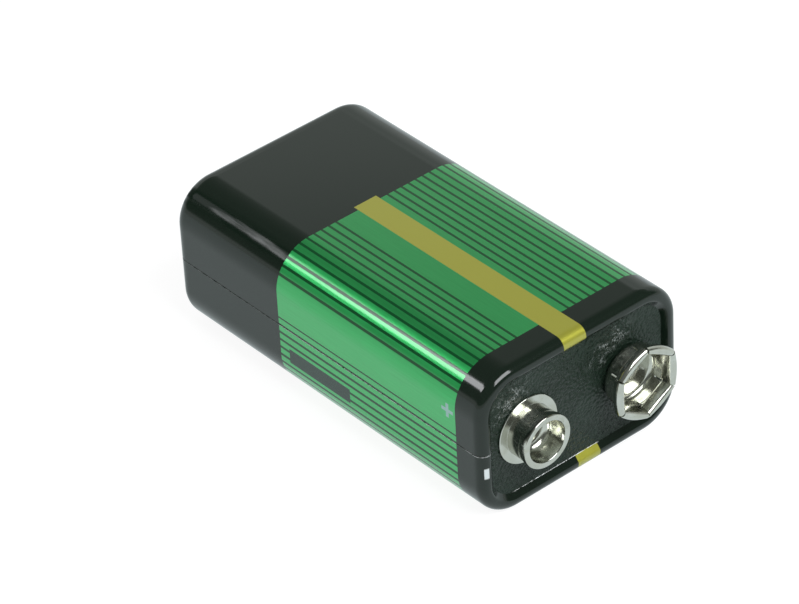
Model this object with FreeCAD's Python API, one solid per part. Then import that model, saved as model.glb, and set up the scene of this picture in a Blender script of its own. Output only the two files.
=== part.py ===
"""Nine volt layer battery, lying on one of its broad faces.

A lithographed sheet jacket is rolled over a terminal board at one end and a base plate at the other.
Inside it, six flat zinc-carbon cells stand in a shrunk sleeve, joined by two collectors to the snap
contacts that are riveted to the board.

Millimetres. +X runs from the base to the snap contacts, +Y across the width and +Z up through the depth.
Everything is modelled about the long axis with the base rim at X = 0, and moved to its place at the end.
"""

import FreeCAD, Part
import math
import os

V = FreeCAD.Vector
AXIS = V(1, 0, 0)
ORIGIN = V(0, 0, 0)

# Straight runs in a quarter turn: of a small round, of the jacket's outer bend and of a wide corner
round_steps = 2
bend_steps = 3
corner_steps = 4

# Jacket
contact_pitch = 12.7
contact_edge = 6.25
case_depth = 16.4
case_length = 45.28
corner_radius = 4.4
sheet = 0.25
base_bend_radius = 1.5
top_bend_radius = 1.0
rim_hook_radius = 0.40
top_lip_turn = 40
top_recess = 0.53
base_recess = 0.60
seam_lap = 2.5
seam_groove_width = 0.12
seam_groove_depth = 0.16
seam_fit = 0.05

# Terminal board and base plate
board_thickness = 1.4
board_skirt_wall = 1.0
board_fit = 0.10
plate_thickness = 1.2
card_thickness = 0.30
card_fit = 0.10
head_room = 4.0

# Snap contacts, measured outwards from the face of the board
stud_height = 2.85
stud_head_radius = 2.86
stud_head_length = 0.57
stud_head_round = 0.12
stud_mouth_round = 0.12
stud_well_round = 0.90
stud_neck_radius = 2.74
stud_flare = 0.60
stud_mouth_radius = 2.22
stud_floor = 0.30
stud_flange_radius = 3.65
stud_flange_height = 0.20
socket_height = 3.10
socket_sheet = 0.25
socket_petals = 6
socket_cup_radius = 3.30
socket_cup_round = 0.45
socket_cup_height = 1.75
socket_waist_height = 1.95
socket_waist_apothem = 2.74
socket_roll_radius = 0.48
socket_roll_apothem = 3.42
socket_roll_corner = 4.14
socket_hem_length = 0.30
socket_slit = 0.14
socket_slit_foot = 1.00
rivet_shank_radius = 0.85
rivet_head_radius = 1.30
rivet_head_height = 0.22
rivet_clinch_radius = 1.25
rivet_clinch_height = 0.30
rivet_bore_radius = 0.35
rivet_bore_depth = 1.20

# Cells, from the zinc side to the cake side of each
cell_count = 6
cell_corner = 2.5
envelope_wall = 0.30
envelope_lip = 0.25
envelope_lip_width = 1.40
zinc_thickness = 0.50
separator_thickness = 0.20
separator_drop = 0.60
cell_fit = 0.05
cake_pad_inset = 0.20

# Sleeve, liner and collectors
sleeve_wall = 0.15
sleeve_lip_width = 1.50
liner_wall = 0.20
liner_fit = 0.05
stack_fit = 0.05
stack_air = 0.55
collector_thickness = 0.25
collector_width = 4.0
collector_bend = 0.15
collector_fit = 0.06
collector_plate_inset = 0.60
collector_tab_reach = 2.2
collector_air = 0.50

# Sizes and places that follow from those above
case_width = contact_pitch + 2 * contact_edge
contact_offset = contact_pitch / 2
overall_length = case_length - top_recess + max(stud_height, socket_height)
liner_inset = 2 * sheet + liner_fit
strip_room = collector_thickness + collector_fit
cell_length = case_width - 2 * (liner_inset + liner_wall + stack_fit + strip_room + sleeve_wall)
cell_breadth = case_depth - 2 * (liner_inset + liner_wall + stack_air + sleeve_wall)
board_face = case_length - top_recess
board_back = board_face - board_thickness
skirt_start = board_back - head_room
card_seat = skirt_start - card_thickness
collector_seat = card_seat - collector_thickness
stack_end = collector_seat - envelope_lip
plate_back = base_recess + plate_thickness
run_start = plate_back + card_thickness
stack_start = run_start + strip_room + sleeve_wall
cell_pitch = (stack_end - stack_start) / cell_count
separator_rim = cell_pitch - 2 * envelope_lip - zinc_thickness - separator_drop
opening_inset = envelope_wall + envelope_lip_width
plate_inset = opening_inset + collector_plate_inset
tab_rise = -contact_offset - collector_tab_reach - collector_air


def arc_point(centre, radius, degrees):
    """A point on a circle in the section plane, turned from its first axis towards its second."""
    angle = math.radians(degrees)
    return (centre[0] + radius * math.cos(angle), centre[1] + radius * math.sin(angle))


def round_points(centre, radius, start, end, steps=round_steps):
    """A round as short straight runs, turned from one direction to another in degrees."""
    count = round(steps * abs(end - start) / 90)
    return [arc_point(centre, radius, start + (end - start) * step / count) for step in range(count + 1)]


def outline(width, depth, radius, x, steps=corner_steps):
    """A rectangle with rounded corners across the battery, at X = x."""
    flat_y, flat_z = width / 2 - radius, depth / 2 - radius
    corners = []
    for turn, (side_y, side_z) in enumerate(((1, 1), (-1, 1), (-1, -1), (1, -1))):
        centre = (side_y * flat_y, side_z * flat_z)
        corners += round_points(centre, radius, 90 * turn, 90 * turn + 90, steps)
    points = [V(x, *corner) for corner in corners]
    return Part.makePolygon(points + points[:1])


def prism(wire, length):
    """A solid with that outline, drawn out along X."""
    return Part.Face(wire).extrude(V(length, 0, 0))


def cell_slab(inset, start, end):
    """A solid with the straight cut corners of a cell, drawn in by an inset, from X = start to X = end."""
    cut = cell_corner - (2 - math.sqrt(2)) * inset
    return prism(outline(cell_length - 2 * inset, cell_breadth - 2 * inset, cut, start, 1), end - start)


def inset_slab(inset, start, end):
    """A solid whose edge lies that far inside the outside of the jacket, from X = start to X = end."""
    width, depth = case_width - 2 * inset, case_depth - 2 * inset
    return prism(outline(width, depth, corner_radius - inset, start), end - start)


def section(*corners):
    """A face in the XZ plane, through its (x, z) corners."""
    points = [V(x, 0, z) for x, z in corners]
    return Part.Face(Part.makePolygon(points + points[:1]))


def turned(face, y):
    """A section turned about an axis along X, set at that Y."""
    solid = face.revolve(ORIGIN, AXIS, 360)
    solid.translate(V(0, y, 0))
    return solid


def lip_foot(corner):
    """The point where the sloping lip of the contact end, that starts at a corner, meets the board."""
    fall = corner[0] - board_face
    return (board_face, corner[1] - fall / math.tan(math.radians(top_lip_turn)))


def sheet_section(near, far):
    """The jacket's section from the lip to the hook, between two depths below its outer surface.
    Its second coordinate is the distance from the centre of the corner bends."""
    top_crest, low_crest = corner_radius - top_bend_radius, corner_radius - base_bend_radius
    hook = rim_hook_radius
    top_hook, top_bend = (case_length - hook, top_crest), (case_length - top_bend_radius, top_crest)
    low_hook, low_bend = (hook, low_crest), (base_bend_radius, low_crest)
    outer_lip = round_points(top_hook, hook - near, -top_lip_turn, 0)
    inner_lip = round_points(top_hook, hook - far, 0, -top_lip_turn)
    outside = [
        lip_foot(outer_lip[0]),
        *outer_lip,
        *round_points(top_bend, top_bend_radius - near, 0, 90, bend_steps)[1:],
        *round_points(low_bend, base_bend_radius - near, 90, 180, bend_steps),
        *round_points(low_hook, hook - near, 180, 270)[1:],
        (base_recess, low_crest - hook + near),
    ]
    inside = [
        (base_recess, low_crest - hook + far),
        *round_points(low_hook, hook - far, 270, 180),
        *round_points(low_bend, base_bend_radius - far, 180, 90)[1:],
        *round_points(top_bend, top_bend_radius - far, 90, 0),
        *inner_lip[1:],
        lip_foot(inner_lip[-1]),
    ]
    return section(*outside, *inside)


def wrap(face):
    """Carries a wall section round the jacket's four flats and four corner bends."""
    flat_y = case_width / 2 - corner_radius
    flat_z = case_depth / 2 - corner_radius
    bends = ((flat_y, flat_z), (flat_y, -flat_z), (-flat_y, -flat_z), (-flat_y, flat_z))
    pieces = []
    for turn, (y, z) in enumerate(bends):
        run = 2 * (flat_z if turn % 2 else flat_y)
        for piece in (face.extrude(V(0, -run, 0)), face.revolve(ORIGIN, AXIS, -90)):
            piece.rotate(ORIGIN, AXIS, -90 * turn)
            piece.translate(V(0, y, z))
            pieces.append(piece)
    return pieces[0].fuse(pieces[1:]).removeSplitter()


def seam_layer(fit):
    """The inner layer of the jacket's seam, grown by a clearance."""
    start, end = base_bend_radius - fit, case_length - top_bend_radius + fit
    layer = Part.makeBox(end - start, 2 * sheet + fit - seam_groove_depth, seam_lap + 2 * fit)
    layer.translate(V(start, seam_groove_depth - case_width / 2, -seam_lap / 2 - fit))
    return layer


def jacket():
    """One printed sheet, lapped along the middle of a narrow side and rolled over at both ends."""
    body = wrap(sheet_section(0, sheet))
    groove = sheet_section(-sheet, seam_groove_depth).extrude(V(0, -seam_groove_width, 0))
    groove.translate(V(0, seam_groove_width / 2, case_width / 2 - corner_radius))
    groove.rotate(ORIGIN, AXIS, 90)
    return body.cut(groove).fuse(seam_layer(0)).removeSplitter()


def end_plate(start, face, thickness, bend):
    """A plate behind a rolled rim, from its inner side to its face, cut back to clear the rim's bend."""
    inset = sheet + board_fit
    bevel = min(bend - inset, thickness - board_fit)
    edge = face - math.copysign(bevel, face - start)
    rim = outline(case_width - 2 * inset, case_depth - 2 * inset, corner_radius - inset, edge)
    top_inset = inset + bevel
    top = outline(case_width - 2 * top_inset, case_depth - 2 * top_inset, corner_radius - top_inset, face)
    plate = inset_slab(inset, start, edge).fuse(Part.makeLoft([rim, top], True, True))
    return plate.removeSplitter().cut(seam_layer(seam_fit))


def terminal_board():
    """A moulded plate with a skirt that stands on the stack, pierced for the two rivets."""
    board = end_plate(skirt_start, board_face, board_thickness, top_bend_radius)
    board = board.cut(inset_slab(sheet + board_fit + board_skirt_wall, skirt_start, board_back))
    for y in (-contact_offset, contact_offset):
        hole = Part.makeCylinder(rivet_shank_radius, board_thickness, V(board_back, y, 0), AXIS)
        board = board.cut(hole)
    return board


def bottom_plate():
    """A plain plate that closes the base behind the rolled rim."""
    return end_plate(plate_back, base_recess, plate_thickness, base_bend_radius)


def stud_contact():
    """The smaller contact: a drawn hollow stud on a thin flange."""
    edge = stud_flange_height / 2
    head_start = stud_height - stud_head_length
    outer_round = (stud_height - stud_head_round, stud_head_radius - stud_head_round)
    inner_round = (stud_height - stud_mouth_round, stud_mouth_radius + stud_mouth_round)
    well_round = (stud_floor + stud_well_round, stud_mouth_radius - stud_well_round)
    face = section(
        (0, rivet_shank_radius),
        *round_points((edge, stud_flange_radius - edge), edge, 180, 0, 1),
        (stud_flange_height, stud_neck_radius),
        (head_start - stud_flare, stud_neck_radius),
        (head_start, stud_head_radius),
        *round_points(outer_round, stud_head_round, 90, 0),
        *round_points(inner_round, stud_mouth_round, 0, -90),
        *round_points(well_round, stud_well_round, 90, 180),
        (stud_floor, rivet_shank_radius),
    )
    stud = turned(face, -contact_offset)
    stud.translate(V(board_face, 0, 0))
    return stud


def petal_corners(x, radius):
    """The points between the petals, at that distance from the contact's axis."""
    turn = 2 * math.pi / socket_petals
    angles = [turn * (number + 0.5) for number in range(socket_petals)]
    return [V(x, radius * math.cos(angle), radius * math.sin(angle)) for angle in angles]


def cup_transition(radius, apothem):
    """A solid that passes from the round cup to the flats of the petals."""
    half = math.pi / socket_petals
    corners = petal_corners(socket_cup_height, radius)
    arcs = []
    for number, corner in enumerate(corners):
        angle = 2 * half * (number + 1)
        middle = V(socket_cup_height, radius * math.cos(angle), radius * math.sin(angle))
        arcs.append(Part.Arc(corner, middle, corners[(number + 1) % socket_petals]).toShape())
    flats = petal_corners(socket_waist_height, apothem / math.cos(half))
    return Part.makeLoft([Part.Wire(arcs), Part.makePolygon(flats + flats[:1])], True, True)


def petal_lean():
    """The angle at which a petal's inner face leaves the waist to touch its roll."""
    rise = socket_height - socket_roll_radius - socket_waist_height
    spread = socket_roll_apothem - socket_waist_apothem
    return math.atan2(spread, rise) - math.asin(socket_roll_radius / math.hypot(rise, spread))


def petal_section():
    """A petal's section: its wall leans out from the waist, rolls over outwards and ends in a hem."""
    lean = petal_lean()
    up = (math.cos(lean), math.sin(lean))
    centre = (socket_height - socket_roll_radius, socket_roll_apothem)
    hollow = socket_roll_radius - socket_sheet

    def at(rise, out):
        return (centre[0] + rise * up[0] - out * up[1], centre[1] + rise * up[1] + out * up[0])

    crest = -math.degrees(lean)
    outer = round_points((0, 0), socket_roll_radius, -90, crest)
    outer += round_points((0, 0), socket_roll_radius, crest, 90)[1:]
    inner = round_points((0, 0), hollow, 90, -90)
    return [
        (socket_waist_height, socket_waist_apothem),
        *[at(*point) for point in outer],
        at(-socket_hem_length, socket_roll_radius),
        at(-socket_hem_length, hollow),
        *[at(*point) for point in inner],
        (socket_waist_height, socket_waist_apothem + socket_sheet / up[0]),
    ]


def petal_side(corners, side):
    """A petal's section along the slit at one of its sides, where the roll is drawn in from the hexagon."""
    half = math.pi / socket_petals
    waist = corners[-1][1]
    brim = max(reach for x, reach in corners)
    drawn = (brim / math.cos(half) - socket_roll_corner) / (brim - waist)
    points = []
    for x, reach in corners:
        radius = reach / math.cos(half) - drawn * max(0, reach - waist)
        y = radius * math.cos(half) + socket_slit / 2 * math.sin(half)
        z = radius * math.sin(half) - socket_slit / 2 * math.cos(half)
        points.append(V(x, y, side * z))
    return points


def skinned(rows):
    """A solid with flat facets between rows of points, closed over at the first and the last."""
    faces = [Part.Face(Part.makePolygon(row + row[:1])) for row in (rows[0], rows[-1])]
    for low, high in zip(rows, rows[1:]):
        for a, b, c, d in zip(low, low[1:] + low[:1], high[1:] + high[:1], high):
            faces += [Part.Face(Part.makePolygon(corners)) for corners in ([a, b, c, a], [a, c, d, a])]
    shell = Part.makeShell(faces)
    shell.sewShape()
    solid = Part.makeSolid(shell)
    if solid.Volume < 0:
        solid.reverse()
    return solid


def socket_petal():
    """One petal about the Y axis: straight across its middle, and drawn in towards the slits."""
    corners = petal_section()
    spread = math.tan(math.pi / socket_petals / 2)
    middle = [[V(x, reach, side * spread * reach) for x, reach in corners] for side in (-1, 1)]
    return skinned([petal_side(corners, -1), *middle, petal_side(corners, 1)])


def socket_contact():
    """The larger contact: a round cup that passes into six flared petals, which grip a stud."""
    lean = petal_lean()
    bend = (socket_cup_round, socket_cup_radius - socket_cup_round)
    face = section(
        (0, rivet_shank_radius),
        *round_points(bend, socket_cup_round, 180, 90),
        (socket_cup_height, socket_cup_radius),
        (socket_cup_height, socket_cup_radius - socket_sheet),
        *round_points(bend, socket_cup_round - socket_sheet, 90, 180),
        (socket_sheet, rivet_shank_radius),
    )
    outside = cup_transition(socket_cup_radius, socket_waist_apothem + socket_sheet / math.cos(lean))
    inside = cup_transition(socket_cup_radius - socket_sheet, socket_waist_apothem)
    cup = turned(face, 0).fuse(outside.cut(inside))
    petal = socket_petal()
    petals = []
    for number in range(socket_petals):
        turn = 360 / socket_petals
        slit = Part.makeBox(socket_height, 2 * socket_cup_radius, socket_slit)
        slit.translate(V(socket_slit_foot, 0, -socket_slit / 2))
        slit.rotate(ORIGIN, AXIS, turn * (number + 0.5))
        cup = cup.cut(slit)
        turned_petal = petal.copy()
        turned_petal.rotate(ORIGIN, AXIS, turn * number)
        petals.append(turned_petal)
    socket = cup.fuse(petals).removeSplitter()
    socket.translate(V(board_face, contact_offset, 0))
    return socket


def rivet(y, floor):
    """A tubular rivet through a contact's floor, the board and a collector tab."""
    top = floor + rivet_head_height
    tail = -board_thickness - collector_thickness
    end = tail - rivet_clinch_height
    crown = (floor, rivet_head_radius - rivet_head_height)
    face = section(
        (end, 0),
        (end, rivet_clinch_radius),
        (tail, rivet_clinch_radius),
        (tail, rivet_shank_radius),
        (floor, rivet_shank_radius),
        *round_points(crown, rivet_head_height, 90, 0),
        (top, rivet_bore_radius),
        (top - rivet_bore_depth, rivet_bore_radius),
        (top - rivet_bore_depth, 0),
    )
    pin = turned(face, y)
    pin.translate(V(board_face, 0, 0))
    return pin


def bent_strip(corners):
    """A collector strip along a path of (x, y) corners that are each cut off short, drawn out along Z."""
    points = [V(x, y, 0) for x, y in corners]
    path = points[:1]
    for before, corner, after in zip(points, points[1:], points[2:]):
        path.append(corner + (before - corner).normalize() * collector_bend)
        path.append(corner + (after - corner).normalize() * collector_bend)
    path.append(points[-1])
    across = [V(start.y - end.y, end.x - start.x, 0).normalize() for start, end in zip(path, path[1:])]
    left, right = [], []
    for point, before, after in zip(path, across[:1] + across, across + across[-1:]):
        mitre = (before + after) * (collector_thickness / (before + after).Length ** 2)
        left.append(point + mitre)
        right.insert(0, point - mitre)
    strip = Part.Face(Part.makePolygon(left + right + left[:1])).extrude(V(0, 0, collector_width))
    strip.translate(V(0, 0, -collector_width / 2))
    return strip


def rivet_hole(y):
    """The hole that a rivet's shank fills in a collector tab under the board."""
    start = V(board_back - collector_thickness, y, 0)
    return Part.makeCylinder(rivet_shank_radius, collector_thickness, start, AXIS)


def positive_collector():
    """A plate on the top cell's cake, with a tab that rises to the stud's rivet."""
    half = collector_thickness / 2
    plate = cell_slab(plate_inset, collector_seat, collector_seat + collector_thickness)
    tab = bent_strip(
        [
            (collector_seat + half, -contact_offset + collector_tab_reach),
            (collector_seat + half, tab_rise),
            (board_back - half, tab_rise),
            (board_back - half, -contact_offset + collector_tab_reach),
        ]
    )
    return plate.fuse(tab).removeSplitter().cut(rivet_hole(-contact_offset))


def negative_collector():
    """A plate under the bottom cell's zinc, with a strip up the side of the stack to the socket's rivet."""
    half = collector_thickness / 2
    plate = cell_slab(plate_inset, stack_start, stack_start + collector_thickness)
    foot = cell_length / 2 - plate_inset - collector_bend
    side = cell_length / 2 + sleeve_wall + collector_fit + half
    shoulder = stack_end + sleeve_wall + collector_fit + half
    inside = case_width / 2 - sheet - board_fit - board_skirt_wall - collector_air
    strip = bent_strip(
        [
            (stack_start + half, contact_offset),
            (stack_start + half, foot),
            (run_start + half, foot + 2 * collector_bend),
            (run_start + half, side),
            (shoulder, side),
            (shoulder, inside),
            (board_back - half, inside),
            (board_back - half, contact_offset - collector_tab_reach),
        ]
    )
    return plate.fuse(strip).removeSplitter().cut(rivet_hole(contact_offset))


def liner_slab(inset, start, end):
    """A slab inside the jacket and its lap, for the liner and the cards."""
    return inset_slab(liner_inset + inset, start, end)


def jacket_liner():
    """A card tube that keeps the stack off the jacket."""
    body = liner_slab(0, plate_back, skirt_start)
    return body.cut(liner_slab(liner_wall, plate_back, skirt_start))


def card_notch(side, start, end):
    """The notch in a card's end that a collector passes through."""
    depth = case_width / 2
    edge = side * (cell_length / 2 - opening_inset)
    notch = Part.makeBox(end - start, depth, collector_width + 2 * card_fit)
    notch.translate(V(start, edge if side > 0 else edge - depth, -collector_width / 2 - card_fit))
    return notch


def top_card():
    """The insulating card on the stack, notched at both ends for the collectors."""
    card = liner_slab(liner_wall + card_fit, card_seat, skirt_start)
    tab_edge = tab_rise + collector_bend + card_fit
    slot = Part.makeBox(card_thickness, case_width, collector_width + 2 * card_fit)
    slot.translate(V(card_seat, tab_edge - case_width, -collector_width / 2 - card_fit))
    return card.cut(card_notch(1, card_seat, skirt_start)).cut(slot)


def bottom_card():
    """The insulating card between the negative collector and the base plate."""
    return liner_slab(liner_wall + card_fit, plate_back, run_start)


def stack_sleeve():
    """Film shrunk round the stack, turned in over both of its ends."""
    start, end = stack_start - sleeve_wall, stack_end + sleeve_wall
    sleeve = cell_slab(-sleeve_wall, start, end).cut(cell_slab(0, stack_start, stack_end))
    return sleeve.cut(cell_slab(sleeve_lip_width, start, end))


def cell_envelope(base):
    """The plastic tray that holds one cell together, open where it meets its neighbours."""
    end = base + cell_pitch
    room = cell_slab(envelope_wall, base + envelope_lip, end - envelope_lip)
    return cell_slab(0, base, end).cut(room).cut(cell_slab(opening_inset, base, end))


def cell_zinc(base):
    """The zinc plate, whose outer face carries the carbon film that meets the next cell."""
    start = base + envelope_lip
    return cell_slab(envelope_wall + cell_fit, start, start + zinc_thickness)


def cell_separator(base):
    """The pasted paper tray between the zinc and the cake."""
    inset = envelope_wall + cell_fit
    start = base + envelope_lip + zinc_thickness
    end = start + separator_rim
    tray = cell_slab(inset, start, end)
    return tray.cut(cell_slab(inset + separator_thickness, start + separator_thickness, end))


def cell_cake(base):
    """The pressed manganese dioxide cake, with a pad that stands out to meet the next zinc."""
    start = base + envelope_lip + zinc_thickness + separator_thickness
    shoulder = base + cell_pitch - envelope_lip
    body = cell_slab(envelope_wall + cell_fit + separator_thickness, start, shoulder)
    pad = cell_slab(opening_inset + cake_pad_inset, shoulder, base + cell_pitch + envelope_lip)
    return body.fuse(pad).removeSplitter()


def build():
    """Every piece of the battery by name."""
    nodes = {
        "jacket": jacket(),
        "terminal_board": terminal_board(),
        "bottom_plate": bottom_plate(),
        "stud_contact": stud_contact(),
        "stud_rivet": rivet(-contact_offset, stud_floor),
        "socket_contact": socket_contact(),
        "socket_rivet": rivet(contact_offset, socket_sheet),
        "positive_collector": positive_collector(),
        "negative_collector": negative_collector(),
        "jacket_liner": jacket_liner(),
        "top_card": top_card(),
        "bottom_card": bottom_card(),
        "stack_sleeve": stack_sleeve(),
    }
    for number in range(cell_count):
        base = stack_start + number * cell_pitch
        nodes[f"cell_{number + 1}_envelope"] = cell_envelope(base)
        nodes[f"cell_{number + 1}_zinc"] = cell_zinc(base)
        nodes[f"cell_{number + 1}_separator"] = cell_separator(base)
        nodes[f"cell_{number + 1}_cake"] = cell_cake(base)
    return nodes


def main():
    os.makedirs("parts", exist_ok=True)
    place = V(-overall_length / 2, 0, case_depth / 2)
    for name, shape in build().items():
        shape.translate(place)
        shape.exportStep(f"parts/{name}.step")


main()
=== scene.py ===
"""A nine volt layer battery on a white table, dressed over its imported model.

The frame: +X towards the snap contacts, +Y across the width, +Z up, with the table at Z = 0.
Lengths are in millimetres until a mesh is made, and in metres in the meshes.
"""

import math

import bmesh
import bpy
from mathutils import Matrix, Vector


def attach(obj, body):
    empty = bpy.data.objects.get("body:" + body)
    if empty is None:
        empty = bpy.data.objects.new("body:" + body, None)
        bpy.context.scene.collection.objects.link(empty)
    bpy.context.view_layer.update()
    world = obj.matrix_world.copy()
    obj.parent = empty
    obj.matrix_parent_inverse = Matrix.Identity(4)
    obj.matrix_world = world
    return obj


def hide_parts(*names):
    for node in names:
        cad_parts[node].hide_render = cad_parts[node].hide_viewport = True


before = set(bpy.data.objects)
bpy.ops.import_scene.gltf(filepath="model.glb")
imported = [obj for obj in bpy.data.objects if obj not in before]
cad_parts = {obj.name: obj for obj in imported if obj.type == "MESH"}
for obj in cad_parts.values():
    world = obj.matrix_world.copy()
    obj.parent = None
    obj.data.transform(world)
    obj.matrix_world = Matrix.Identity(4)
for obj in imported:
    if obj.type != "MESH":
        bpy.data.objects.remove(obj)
for leftover in ("Cube", "Light", "Camera"):
    if leftover in bpy.data.objects:
        bpy.data.objects.remove(bpy.data.objects[leftover])
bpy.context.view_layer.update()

MM = 0.001

# Jacket, as in the part's source
CASE_WIDTH = 25.2
CASE_DEPTH = 16.4
CASE_LENGTH = 45.28
CORNER_RADIUS = 4.4
SHEET = 0.25
BASE_BEND_RADIUS = 1.5
TOP_BEND_RADIUS = 1.0
HOOK_RADIUS = 0.40
LIP_TURN = 40
TOP_RECESS = 0.53
BASE_RECESS = 0.60
SEAM_WIDTH = 0.12
SEAM_DEPTH = 0.16

# Places in the row frame
BASE_X = -23.925
AXIS_Z = CASE_DEPTH / 2
BOARD_X = BASE_X + CASE_LENGTH - TOP_RECESS
CONTACT_Y = 6.35

# Snap contacts, measured outwards from the board
STUD_HEIGHT = 2.85
STUD_HEAD_RADIUS = 2.86
STUD_HEAD_LENGTH = 0.57
STUD_HEAD_ROUND = 0.12
STUD_MOUTH_RADIUS = 2.22
STUD_MOUTH_ROUND = 0.12
STUD_WELL_ROUND = 0.90
STUD_NECK_RADIUS = 2.74
STUD_FLARE = 0.60
STUD_FLOOR = 0.30
FLANGE_RADIUS = 3.65
FLANGE_HEIGHT = 0.20
SOCKET_HEIGHT = 3.10
SOCKET_SHEET = 0.25
PETALS = 6
CUP_RADIUS = 3.30
CUP_ROUND = 0.80
CUP_HEIGHT = 1.75
WAIST_HEIGHT = 1.95
WAIST_APOTHEM = 2.74
ROLL_RADIUS = 0.48
ROLL_APOTHEM = 3.42
ROLL_CORNER = 4.14
HEM_LENGTH = 0.30
PETAL_SLIT = 0.14
SLIT_FOOT = 1.00
SHANK_RADIUS = 0.85
RIVET_HEAD_RADIUS = 1.30
RIVET_HEAD_HEIGHT = 0.22
RIVET_BORE_RADIUS = 0.35
RIVET_BORE_DEPTH = 1.20
RIVET_LENGTH = 1.65

# How finely shapes are made, and small clearances and rounds, in millimetres and degrees
WELD = 0.0005
CREASE_ANGLE = 32
TANGENT = 0.25
GROOVE_WALL = 0.01
NO_EDGE = 0.005
FLANGE_COVE = 0.04
FLARE_ROUND = 1.5
WAIST_ROUND = 0.15
SLIT_STEP = 0.01
ROLL_SHARE = 0.98
ROLL_SINK = 0.003

# Print, along from the base rim, and round from the top centre line towards the seam's side. A group of
# lines has its first and last line and their pitch. The plus and the box lie along the jacket's own girth
PRINT_PERIOD = 37.82
PRINT_TOP = 17.92
SEAM_GIRTH = 18.91
PRINT_SOFT = 0.05
FIELD_START = 15.95
FIELD_END = 41.8
GOLD_START = 15.3
GOLD_BAND = (-0.85, 1.95)
SECOND_GOLD_SHIFT = 0.35
PLAIN_STRIP = (-1.25, -0.85)
NEAR_LINES = (4.765, 13.055, 0.921)
FAR_LINES = (-19.85, -1.8, 0.9025)
LINE_WIDTH = 0.30
PLUS_X = 40.7
PLUS_RUN = 3.3
PLUS_ARM = 0.8
PLUS_BAR = 0.2
BOX_X = (17.3, 26.3)
BOX_RUN = (71.7, 73.35)

# Wear of the lacquer: along the seam's edge, along the cut edge that looks out over the board, and on the
# upper corner of the black end. Also a bright patch of bare-tin colour at one spot on the contact end's
# rim
SEAM_BARE = (-0.09, -0.03)
SEAM_BARE_START = 41.5
SEAM_BRIGHT_START = 43.0
SEAM_IN_BLACK = 0.15
SIDE_SKIN = 0.35
# a bright patch of bare-tin colour at one spot on the contact end's rim
TIN_SPOT_START = 44.5
TIN_SPOT_Y = (-12.15, -11.68)
TIN_SPOT_Z = (5.55, 6.7)
CUT_EDGE = CASE_LENGTH - TOP_RECESS
CUT_BAND = (CUT_EDGE - 0.1, CUT_EDGE + 0.035)
CUT_SEEN = (-8.4, 2.8)
CUT_TOP = 2.4
WORN_CORNER = (6.7, 8.5)
CORNER_WEAR_END = 41
SCUFF_LOSS = 0.85

# Inks and bare metal, as linear light, and how metallic the print looks where it is transparent
GREEN_DEEP = (0.024, 0.40, 0.098, 1)
GREEN_LIGHT = (0.042, 0.50, 0.135, 1)
GOLD_INK = (0.35, 0.343, 0.046, 1)
PRINT_GLEAM = 0.9
GOLD_GLEAM = 0.5
BLACK_INK = (0.005, 0.0105, 0.0065, 1)
LINE_INK = (0.0012, 0.046, 0.011, 1)
BOX_INK = (0.02, 0.04, 0.03, 1)
PLUS_INK = (0.25, 0.42, 0.39, 1)
BARE_TIN = (0.86, 0.88, 0.88, 1)
# painted glints: the pale grey painted on the board's grain beside the contacts
PAINTED_GLINT_GREY = (0.30, 0.33, 0.32, 1)
PRINT_ROUGHNESS = 0.34
COAT_ROUGHNESS = 0.1

# Painted glints beside each contact on the board's grain: how far from each contact's axis, which way
# from it as (y, z), and the least cosine with that way
GLINT_REACH = (3.9, 5.9)
GLINT_WAY = (-0.44, 0.90)
GLINT_FACING = 0.86
GLINT_SOFT = 1.0

# Camera: azimuth, elevation and roll in degrees, lengths in millimetres
CAMERA_ANGLES = (51.00646, 36.51657, -3.26270)
CAMERA_TARGET = (-4.87145, 0, 5.94305)
CAMERA_DISTANCE = 424.0742
CAMERA_LENS = 195.0

# The room as glossy surfaces see it: a white backdrop behind the object up to a height, a low white
# wall in front, and a dark room above them that gets a little lighter towards the backdrop. Each place
# is a share of the unit direction, and comes with the softness of its edge
BACKDROP_WAY = (-0.777, 0.629)
BACKDROP_SIDE = (0.45, 0.3)
BACKDROP_TOP = (0.576, 0.035)
BACKDROP_FOLD = (0.50, 0.1)
WALL_TOP = (0.13, 0.06)
HAZE_TOP = (0.68, 0.2)
BACKDROP_GLOW = (0.82, 0.86, 0.84, 1)
LOW_GLOW = (0.62, 0.66, 0.64, 1)
HAZE_GLOW = (0.28, 0.29, 0.28, 1)
DARK_ROOM = (0.12, 0.13, 0.12, 1)
EVEN_LIGHT = (0.40, 0.40, 0.40, 1)

# Lamps: their direction from the object, width and height in metres, power in watts, and colour. One of
# them lights the object without showing in its gloss
LAMP_DISTANCE = 0.7
LAMPS = {
    "fill": ((-0.10, -0.66, 0.60), 1.0, 0.28, 1.2, (1.0, 1.0, 1.0)),
    "key": ((0.64, 0.09, 0.77), 0.50, 0.36, 4.6, (0.96, 0.98, 1.0)),
    "strip": ((-0.536, -0.606, 0.588), 0.153, 0.13, 0.50, (0.96, 0.97, 1.0)),
    "strip_end": ((-0.655, -0.463, 0.597), 0.12, 0.13, 0.17, (0.96, 0.98, 1.0)),
}
UNMIRRORED_LAMP = "fill"

# Table, in metres: its own white, and what the camera and the object's gloss see of it
TABLE_REACH = 1.2
TABLE_WHITE = (0.85, 0.85, 0.85, 1)
TABLE_SHADE = (0.16, 0.16, 0.16, 1)
TABLE_GLOW = (0.88, 0.88, 0.88, 1)
TABLE_IN_GLOSS = (0.57, 0.65, 0.66, 1)


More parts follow.
